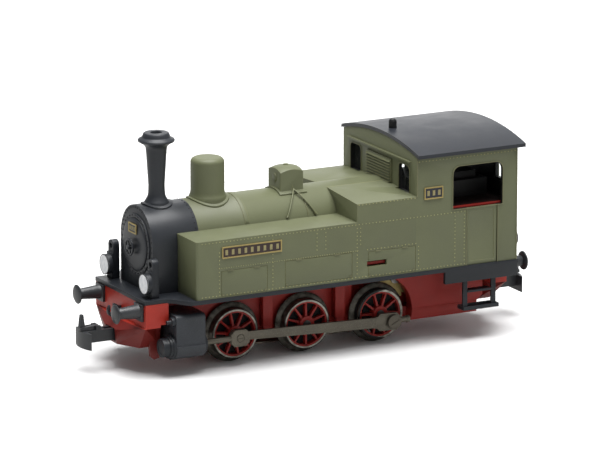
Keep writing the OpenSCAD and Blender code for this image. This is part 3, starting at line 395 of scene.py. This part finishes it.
# Painted highlight: raised trim is painted a little lighter than the olive, for the light its edges catch.
TRIM_HIGHLIGHT = finish("trim_highlight_paint", rgb(112, 112, 82), rough=0.5, corner_shade=0.0)
PLATE_FIELD = finish("plate_field", rgb(52, 36, 32), rough=0.45, corner_shade=0.0)
CAB_PLATE_FIELD = finish("cab_plate_field", rgb(34, 36, 46), rough=0.45, corner_shade=0.0)
PLATE_MARK = finish("plate_mark", rgb(150, 140, 98), rough=0.45, metal=0.2, corner_shade=0.0)

OWN_FINISH = {
    "front_beam": "beam_red", "rear_beam": "beam_red", "cab_doors": "door_green",
    "cylinders": "cylinder_black", "cab_interior": "inside_black",
}
for part in frame["record"]["subparts"]:
    cad = NODES[part["node"]]
    cad.data.materials.clear()
    cad.data.materials.append(MATERIALS[OWN_FINISH.get(part["node"], part["material_slot"])])


# ---------- rounded edges on the frame's parts ----------

def smooth_group(name, degrees):
    """Node group that shades smooth, with sharp edges where faces meet at a steep angle."""
    group = bpy.data.node_groups.new(name, "GeometryNodeTree")
    for way in ("INPUT", "OUTPUT"):
        group.interface.new_socket("Geometry", in_out=way, socket_type="NodeSocketGeometry")
    start = group.nodes.new("NodeGroupInput")
    end = group.nodes.new("NodeGroupOutput")
    drop = group.nodes.new("GeometryNodeRemoveAttribute")
    drop.inputs["Name"].default_value = "custom_normal"
    faces = group.nodes.new("GeometryNodeSetShadeSmooth")
    faces.domain = "FACE"
    faces.inputs["Shade Smooth"].default_value = True
    edges = group.nodes.new("GeometryNodeSetShadeSmooth")
    edges.domain = "EDGE"
    edges.inputs["Shade Smooth"].default_value = False
    angle = group.nodes.new("GeometryNodeInputMeshEdgeAngle")
    steep = group.nodes.new("FunctionNodeCompare")
    steep.operation = "GREATER_THAN"
    steep.inputs[1].default_value = math.radians(degrees)
    group.links.new(start.outputs[0], drop.inputs["Geometry"])
    group.links.new(drop.outputs["Geometry"], faces.inputs["Geometry"])
    group.links.new(faces.outputs["Geometry"], edges.inputs["Geometry"])
    group.links.new(angle.outputs["Unsigned Angle"], steep.inputs[0])
    group.links.new(steep.outputs["Result"], edges.inputs["Selection"])
    group.links.new(edges.outputs["Geometry"], end.inputs[0])
    return group


SMOOTH = smooth_group("shade_by_angle", 34)
CRISP = smooth_group("shade_crisp", 12)
CRISP_NODES = {"front_beam", "rear_beam", "coupler_front", "coupler_rear"}
FINE_EDGE = {
    "armature", "armature_windings", "axle_gear", "idler_gear", "compound_gear", "gear_studs",
    "frame_screws", "lamp_lenses", "louvre_panel", "window_glazing", "traction_tyres", "backhead_fittings",
}


def soften(obj, width, group):
    """Rounds an object's edges and shades it by angle, through modifiers only."""
    weld = obj.modifiers.new("weld", "WELD")
    weld.merge_threshold = 1e-6
    if width:
        flat = obj.modifiers.new("flat", "DECIMATE")
        flat.decimate_type = "DISSOLVE"
        flat.angle_limit = math.radians(0.5)
        bevel = obj.modifiers.new("bevel", "BEVEL")
        bevel.width = width
        bevel.segments = 2
        bevel.limit_method = "ANGLE"
        bevel.angle_limit = math.radians(35)
        bevel.use_clamp_overlap = True
    shade = obj.modifiers.new("shade", "NODES")
    shade.node_group = group


EXACT_NORMALS = {"cab_roof"}
for name, cad in NODES.items():
    if name not in EXACT_NORMALS:
        soften(cad, 0.0 if name in FINE_EDGE else 0.07 * MM, CRISP if name in CRISP_NODES else SMOOTH)


# ---------- mesh building ----------

def new_piece(name, bm, material, body="chassis"):
    """Turns a bmesh into a piece that rides on a body."""
    bmesh.ops.recalc_face_normals(bm, faces=bm.faces)
    mesh = bpy.data.meshes.new(name)
    bm.to_mesh(mesh)
    bm.free()
    mesh.materials.append(material)
    obj = bpy.data.objects.new(name, mesh)
    bpy.context.scene.collection.objects.link(obj)
    shade = obj.modifiers.new("shade", "NODES")
    shade.node_group = SMOOTH
    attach(obj, body)
    return obj


def add_box(bm, lo, hi, round_by=0.0):
    """Adds a box between two corners, with rounded edges when asked for."""
    made = bmesh.ops.create_cube(bm, size=1.0)["verts"]
    centre = (Vector(lo) + Vector(hi)) / 2
    size = Vector(hi) - Vector(lo)
    for v in made:
        v.co = Vector((centre[i] + v.co[i] * size[i] for i in range(3)))
    if round_by:
        edges = list({e for v in made for e in v.link_edges})
        bmesh.ops.bevel(bm, geom=edges, offset=round_by, segments=2, affect="EDGES", profile=0.5)


def add_rivet(bm, at, normal, radius, height):
    """Adds one domed rivet head that stands on a surface."""
    turn = Vector(normal).to_track_quat("Z", "Y").to_matrix()
    rings = []
    for share, rise in ((1.0, -0.2), (1.0, 0.25), (0.72, 0.75)):
        ring = []
        for k in range(8):
            a = k * math.tau / 8
            local = Vector((radius * share * math.cos(a), radius * share * math.sin(a), height * rise))
            ring.append(bm.verts.new(Vector(at) + turn @ local))
        rings.append(ring)
    top = bm.verts.new(Vector(at) + turn @ Vector((0, 0, height)))
    bm.faces.new(list(reversed(rings[0])))
    for low, high in zip(rings, rings[1:]):
        for k in range(8):
            bm.faces.new((low[k], low[(k + 1) % 8], high[(k + 1) % 8], high[k]))
    for k in range(8):
        bm.faces.new((rings[-1][k], rings[-1][(k + 1) % 8], top))


def stations(start, end, pitch):
    """Evenly spaced values from start to end, close to the wanted pitch."""
    count = max(1, round(abs(end - start) / pitch))
    return [start + (end - start) * k / count for k in range(count + 1)]


def add_tube(bm, path, radius, sides=10, ref=(1, 0, 0), closed=False):
    """Adds a round tube along points; ref is a direction that the path never takes."""
    rings = []
    count = len(path)
    for i, p in enumerate(path):
        if closed:
            ahead = path[(i + 1) % count] - path[i - 1]
        else:
            ahead = path[min(i + 1, count - 1)] - path[max(i - 1, 0)]
        across = ahead.cross(Vector(ref)).normalized()
        up = across.cross(ahead).normalized()
        ring = []
        for k in range(sides):
            a = k * math.tau / sides
            ring.append(bm.verts.new(p + (across * math.cos(a) + up * math.sin(a)) * radius))
        rings.append(ring)
    pairs = list(zip(rings, rings[1:]))
    if closed:
        pairs.append((rings[-1], rings[0]))
    for low, high in pairs:
        for k in range(sides):
            bm.faces.new((low[k], low[(k + 1) % sides], high[(k + 1) % sides], high[k]))
    if not closed:
        bm.faces.new(rings[0])
        bm.faces.new(rings[-1])


def circle_path(centre, u, v, radius, steps=40):
    """Points of a circle in the plane of the unit vectors u and v."""
    turns = [k * math.tau / steps for k in range(steps)]
    return [Vector(centre) + radius * (math.cos(t) * Vector(u) + math.sin(t) * Vector(v)) for t in turns]


# ---------- tank and cab sides ----------

def side_rivet_points():
    """X and Z of the rivets on one side of the tanks and the cab: the plain ones and the fine ones."""
    wide, close = 0.9 * MM, 0.62 * MM
    low, high = board_top + 0.55 * MM, tank_top - 0.55 * MM
    rows = [
        (tank_front - 1.4 * MM, door_edge + 0.6 * MM, high),
        (tank_front - 1.4 * MM, door_edge + 0.6 * MM, low),
        (cab_front - 0.6 * MM, cab_back + 0.7 * MM, eave_z - 0.35 * MM),
        (bunker_front - 0.5 * MM, cab_front + 0.5 * MM, bunker_top - 0.25 * MM),
        (-11.6 * MM, -24.4 * MM, 24.3 * MM),
    ]
    columns = [
        (26.8, low, 29.0 * MM), (13.05, low, high), (1.6, 24.9 * MM, high), (-0.7, 24.9 * MM, high),
        (-8.9, low, high), (-9.8, 24.9 * MM, high), (-25.1, low, 24.4 * MM), (-34.8, low, high),
        (-37.3, low, high),
    ]
    spots = [(x, z) for a, b, z in rows for x in stations(a, b, wide)]
    spots += [(x * MM, z) for x, a, b in columns for z in stations(a + wide, b - wide, wide)]
    fine = [(x, 24.35 * MM) for x in stations(26.2 * MM, -9.1 * MM, close)]
    return spots, fine


def side_rivets(sign, name):
    bm = bmesh.new()
    spots, fine = side_rivet_points()
    for points, radius in ((spots, 0.14 * MM), (fine, 0.11 * MM)):
        for x, z in points:
            add_rivet(bm, (x, sign * side_y, z), (0, sign, 0), radius, 0.09 * MM)
    new_piece(name, bm, RIVET_HIGHLIGHT)


HATCHES = [
    ((14.6 * MM, 26.2 * MM), (17.8 * MM, 23.6 * MM)),
    ((-7.5 * MM, 9.8 * MM), (18.2 * MM, 24.0 * MM)),
    ((-24.2 * MM, -12.0 * MM), (17.8 * MM, 23.7 * MM)),
]


def hatch_trim(sign, name):
    """Hinges and latches of the hatch panels."""
    bm = bmesh.new()
    for x, z in HATCHES:
        span = x[1] - x[0]
        for share in (0.22, 0.80):
            at = x[0] + share * span
            add_box(bm, (at - 0.7 * MM, sign * side_y - 0.03 * MM, z[1] - 0.12 * MM),
                    (at + 0.7 * MM, sign * side_y + 0.03 * MM, z[1] + 0.22 * MM))
            pin_at = Vector((at, sign * (side_y + 0.08 * MM), z[1] + 0.05 * MM))
            half_pin = Vector((0.75 * MM, 0, 0))
            add_tube(bm, [pin_at - half_pin, pin_at + half_pin], 0.1 * MM, 8, (0, 0, 1))
        y0, y1 = sorted((sign * side_y, sign * (side_y + 0.12 * MM)))
        for at in (x[0] + 0.35 * MM, x[1] - 0.35 * MM):
            add_box(bm, (at - 0.30 * MM, y0, z[0] + 0.15 * MM), (at + 0.30 * MM, y1, z[0] + 0.40 * MM),
                    0.04 * MM)
    new_piece(name, bm, TRIM_HIGHLIGHT)


def rounded_outline(x, z, radius, steps=6):
    """Points round a rectangle with round upper corners."""
    points = []
    for centre, start in ((x[1] - radius, 0), (x[0] + radius, 90)):
        for k in range(steps + 1):
            a = math.radians(start + 90 * k / steps)
            points.append((centre + radius * math.cos(a), z[1] - radius + radius * math.sin(a)))
    return points + [(x[0], z[0]), (x[1], z[0])]


def add_rim(bm, outline, width, inner, outer, place):
    """Adds a closed band round an outline; place turns (u, v, depth) into a point."""
    centre = (sum(p[0] for p in outline) / len(outline), sum(p[1] for p in outline) / len(outline))
    rings = []
    for grow, depth in ((0, inner), (width, inner), (width, outer), (0, outer)):
        ring = []
        for u, v in outline:
            du, dv = u - centre[0], v - centre[1]
            ring.append(bm.verts.new(place(
                u + math.copysign(grow, du), v + math.copysign(grow, dv), depth)))
        rings.append(ring)
    n = len(outline)
    for r in range(4):
        a, b = rings[r], rings[(r + 1) % 4]
        for k in range(n):
            bm.faces.new((a[k], a[(k + 1) % n], b[(k + 1) % n], b[k]))


def window_rims():
    """Raised frames round the cab's side and end windows."""
    bm = bmesh.new()
    width = 0.2 * MM
    side = rounded_outline(*side_window, side_window_corner)
    for sign in (-1, 1):
        add_rim(bm, side, width, side_y - 0.02 * MM, side_y + 0.13 * MM,
                lambda u, v, d, s=sign: Vector((u, s * d, v)))
    for x, out in ((cab_front, 1), (cab_back, -1)):
        for sign in (-1, 1):
            y = (sign * end_window_y - end_window_half, sign * end_window_y + end_window_half)
            outline = rounded_outline(y, end_window_z, end_window_corner)
            add_rim(bm, outline, width, x - out * 0.02 * MM, x + out * 0.12 * MM,
                    lambda u, v, d: Vector((d, u, v)))
    new_piece("window_rims", bm, TRIM_HIGHLIGHT)


def cab_beads():
    """Corner beads of the cab and upright strips beside its doors."""
    bm = bmesh.new()
    for sign in (-1, 1):
        for x in (cab_front - 0.15 * MM, cab_back + 0.15 * MM):
            low = bunker_top if x > cab_back + 1 * MM else board_top + 0.1 * MM
            add_tube(bm, [Vector((x, sign * (side_y - 0.02 * MM), z)) for z in (low, eave_z)], 0.16 * MM, 8)
        y0, y1 = sorted((sign * (side_y - 0.05 * MM), sign * (side_y + 0.08 * MM)))
        for x in (-37.95 * MM, -46.25 * MM):
            add_box(bm, (x - 0.09 * MM, y0, board_top), (x + 0.09 * MM, y1, 31.2 * MM))
    new_piece("cab_beads", bm, TRIM_HIGHLIGHT)


# ---------- plates ----------

def plate_fields():
    """Dark fields of the blank plates, with a plain row of bosses in place of lettering."""
    for name, x, z, material, count in (
        ("name_plate", (11.15, 25.85), (26.95, 29.05), PLATE_FIELD, 9),
        ("cab_plate", (-31.15, -26.85), (34.85, 37.05), CAB_PLATE_FIELD, 3),
    ):
        bm, marks = bmesh.new(), bmesh.new()
        for sign in (-1, 1):
            y0, y1 = sign * (side_y + 0.14 * MM), sign * (side_y + 0.19 * MM)
            add_box(bm, (x[0] * MM, min(y0, y1), z[0] * MM), (x[1] * MM, max(y0, y1), z[1] * MM))
            mid = (z[0] + z[1]) / 2 * MM
            for k in range(count):
                u = (x[0] + (x[1] - x[0]) * (k + 0.5) / count) * MM
                half = 0.34 * MM
                add_box(marks, (u - half, min(y1, y1 + sign * 0.07 * MM), mid - 0.62 * MM),
                        (u + half, max(y1, y1 + sign * 0.07 * MM), mid + 0.62 * MM), 0.03 * MM)
        new_piece(name + "_fields", bm, material)
        new_piece(name + "_bosses", marks, PLATE_MARK)
    bm, marks = bmesh.new(), bmesh.new()
    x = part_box("plates")[1].x - 0.09 * MM
    add_box(bm, (x - 0.08 * MM, -1.7 * MM, 30.6 * MM), (x, 1.7 * MM, 32.3 * MM))
    for k in range(3):
        y = (k - 1) * 1.05 * MM
        add_box(marks, (x, y - 0.3 * MM, 30.95 * MM), (x + 0.07 * MM, y + 0.3 * MM, 31.95 * MM), 0.03 * MM)
    new_piece("door_plate_field", bm, CAB_PLATE_FIELD)
    new_piece("door_plate_bosses", marks, PLATE_MARK)


# ---------- smokebox and boiler ----------

def smokebox_rivets():
    """Rivets round the smokebox front, its door ring and its rear seam."""
    bm = bmesh.new()
    r = boiler_r - 0.55 * MM
    ring_r = 6.78 * MM
    ring_count = 30
    front = smoke_hi.x
    height = 0.16 * MM
    for a in stations(-90, 90, 8.6):
        t = math.radians(a)
        add_rivet(bm, (front, r * math.sin(t), boiler_z + r * math.cos(t)), (1, 0, 0), 0.22 * MM, height)
    for sign in (-1, 1):
        for z in stations(boiler_z - 1.2 * MM, board_top + 1.2 * MM, 1.25 * MM):
            add_rivet(bm, (front, sign * r, z), (1, 0, 0), 0.22 * MM, height)
    for k in range(ring_count):
        t = k * math.tau / ring_count
        at = (front + 0.35 * MM, ring_r * math.sin(t), door_z + ring_r * math.cos(t))
        add_rivet(bm, at, (1, 0, 0), 0.2 * MM, height)
    for a in stations(-66, 66, 9.0):
        t = math.radians(a)
        n = Vector((0, math.sin(t), math.cos(t)))
        add_rivet(bm, Vector((smoke_lo.x + 0.6 * MM, 0, boiler_z)) + n * boiler_r, n, 0.18 * MM, 0.12 * MM)
    new_piece("smokebox_rivets", bm, RIVET_SHADE)


def boiler_seams():
    """Thin bands on the boiler: the two edges of the one behind the dome, and one under the sandbox."""
    bm = bmesh.new()
    reach = boiler_r + 0.03 * MM
    for x, low, high in ((-1.5 * MM, 22, 70), (13.9 * MM, -69, 69), (14.9 * MM, -69, 69)):
        ranges = [(low, high)] if low < 0 else [(low, high), (-high, -low)]
        for a0, a1 in ranges:
            path = []
            for a in stations(a0, a1, 3):
                t = math.radians(a)
                path.append(Vector((x, reach * math.sin(t), boiler_z + reach * math.cos(t))))
            add_tube(bm, path, 0.1 * MM, 6)
    new_piece("boiler_seams", bm, TRIM_HIGHLIGHT)


def sand_pipe_tubes():
    """Smooth sand pipes with a union nut at the far end of each, in place of the plain ones."""
    bm = bmesh.new()
    clip_x = (sand_lo.x + sand_hi.x) / 2 - 0.2 * MM
    steps = 14
    for sign in (-1, 1):
        for run in (4.0 * MM, -3.6 * MM):
            path = []
            for k in range(steps + 1):
                a = math.radians(22 + 47 * k / steps)
                reach = boiler_r + (0.32 + 0.5 * (1 - k / steps) ** 3) * MM
                x = clip_x + k / steps * run
                path.append(Vector((x, sign * reach * math.sin(a), boiler_z + reach * math.cos(a))))
            add_tube(bm, path, 0.19 * MM, 10)
            add_tube(bm, [path[-2], path[-1]], 0.30 * MM, 6)
    pipes = new_piece("sand_pipe_tubes", bm, MATERIALS["body_green"])
    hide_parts("sand_pipes")


# ---------- lamps, rods and screws ----------

def lamp_bezels():
    """Black bezels round the four lamp lenses."""
    bm = bmesh.new()
    lo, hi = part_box("lamp_lenses")
    y = hi.y - 2.2 * MM
    z = (lo.z + hi.z) / 2
    for x, out in ((hi.x, 1), (lo.x, -1)):
        for sign in (-1, 1):
            path = circle_path((x - out * 0.08 * MM, sign * y, z), (0, 1, 0), (0, 0, 1), 2.32 * MM)
            add_tube(bm, path, 0.12 * MM, 8, closed=True)
    new_piece("lamp_bezels", bm, MATERIALS["buffer_black"])


def spoke_shade_discs():
    """Black discs behind the spokes, one on each wheel: painted shade that darkens the gaps between the spokes.
    """
    for body, axle in (("front_wheelset", 0), ("middle_wheelset", 1), ("rear_wheelset", 2)):
        bm = bmesh.new()
        for sign in (-1, 1):
            centre = Vector((AXLE_X[axle], sign * 7.75 * MM, AXLE_Z))
            add_tube(bm, [centre, centre + Vector((0, sign * 0.35 * MM, 0))], 5.2 * MM, 48)
        new_piece("spoke_shade_discs_" + body.split("_")[0], bm, SPOKE_GAP_SHADE, body)


def rod_end_lugs():
    """Rounded lug behind each main rod's big end."""
    pins = {j["child"]: Vector(j["pos_m"]) for j in frame["joints"] if "rod_pin" in j["name"]}
    for side in ("left", "right"):
        body = side + "_main_rod"
        pin = pins[body]
        bm = bmesh.new()
        start = pin + Vector((-1.4 * MM, 0, 0.1 * MM))
        for a, b, radius in ((0.0, 2.3 * MM, 0.72 * MM), (2.2 * MM, 2.9 * MM, 0.86 * MM)):
            add_tube(bm, [start - Vector((a, 0, 0)), start - Vector((b, 0, 0))], radius, 20, (0, 0, 1))
        new_piece("rod_lug_" + side, bm, MATERIALS["rod_metal"], body)


for sign, side in ((1, "left"), (-1, "right")):
    side_rivets(sign, "side_rivets_" + side)
    hatch_trim(sign, "hatch_trim_" + side)
window_rims()
cab_beads()
plate_fields()
smokebox_rivets()
boiler_seams()
sand_pipe_tubes()
lamp_bezels()
spoke_shade_discs()
rod_end_lugs()


# ---------- floor, light and camera ----------

def floor():
    """Wide flat pale floor."""
    bm = bmesh.new()
    low = cad_box[0].z
    reach = 5.0
    corners = ((-reach, -reach), (reach, -reach), (reach, reach), (-reach, reach))
    bm.faces.new([bm.verts.new((x, y, low)) for x, y in corners])
    mesh = bpy.data.meshes.new("floor")
    bm.to_mesh(mesh)
    bm.free()
    obj = bpy.data.objects.new("floor", mesh)
    bpy.context.scene.collection.objects.link(obj)
    s = Shader("floor_paper")
    grain = s.span(s.noise(6.0), "Fac", 0.3, 0.7, 0.0, 1.0)
    seen = s.mix(grain, "Result", rgb(246, 246, 246), rgb(250, 250, 250))
    bounced = s.mix(grain, "Result", rgb(188, 188, 186), rgb(192, 192, 190))
    rays = s.node("ShaderNodeLightPath")
    s.join(s.mix(rays, "Is Camera Ray", bounced, seen), 2, s.bsdf, "Base Color")
    s.bsdf.inputs["Roughness"].default_value = 0.9
    mesh.materials.append(s.material)


def area_light(name, place, aim, size, power):
    data = bpy.data.lights.new(name, "AREA")
    data.size = size
    data.energy = power
    obj = bpy.data.objects.new(name, data)
    obj.location = place
    obj.rotation_euler = (Vector(aim) - Vector(place)).to_track_quat("-Z", "Y").to_euler()
    bpy.context.scene.collection.objects.link(obj)


def world(strength, front_share, seen):
    """Even white surroundings, dimmer towards the chimney end, that the camera sees as a pale backdrop."""
    w = bpy.data.worlds.new("studio")
    w.use_nodes = True
    tree = w.node_tree
    back = tree.nodes["Background"]
    back.inputs["Color"].default_value = (1.0, 1.0, 1.0, 1.0)
    place = tree.nodes.new("ShaderNodeTexCoord")
    split = tree.nodes.new("ShaderNodeSeparateXYZ")
    level = tree.nodes.new("ShaderNodeMapRange")
    level.inputs["From Min"].default_value = -0.1
    level.inputs["From Max"].default_value = 0.8
    level.inputs["To Min"].default_value = strength
    level.inputs["To Max"].default_value = strength * front_share
    tree.links.new(place.outputs["Generated"], split.inputs[0])
    tree.links.new(split.outputs["X"], level.inputs["Value"])
    rays = tree.nodes.new("ShaderNodeLightPath")
    mix = tree.nodes.new("ShaderNodeMix")
    mix.inputs["B"].default_value = seen
    tree.links.new(rays.outputs["Is Camera Ray"], mix.inputs["Factor"])
    tree.links.new(level.outputs["Result"], mix.inputs["A"])
    tree.links.new(mix.outputs["Result"], back.inputs["Strength"])
    bpy.context.scene.world = w


def camera(azimuth, elevation, distance, target, lens):
    a, e = math.radians(azimuth), math.radians(elevation)
    back = Vector((math.sin(a) * math.cos(e), math.cos(a) * math.cos(e), math.sin(e)))
    data = bpy.data.cameras.new("camera")
    data.lens = lens
    data.sensor_width = 36.0
    data.clip_start = 0.01
    data.clip_end = 20.0
    obj = bpy.data.objects.new("camera", data)
    obj.location = Vector(target) + back * distance
    obj.rotation_euler = (-back).to_track_quat("-Z", "Y").to_euler()
    bpy.context.scene.collection.objects.link(obj)
    bpy.context.scene.camera = obj


floor()
world(0.42, 0.45, 0.95)
centre = (0.0, 0.0, 25 * MM)
area_light("key_above", (-0.02, 0.05, 0.80), centre, 0.7, 12.2)
area_light("fill_side", (-0.45, 0.95, 0.25), centre, 0.8, 0.25)
area_light("back_sheen", (-0.47, -0.90, 0.30), centre, 0.6, 1.1)
camera(27.645, 14.04, 1267.3 * MM, (-3.45 * MM, 0.0, 27.15 * MM), 325.46)
bpy.context.scene.view_settings.view_transform = "Standard"
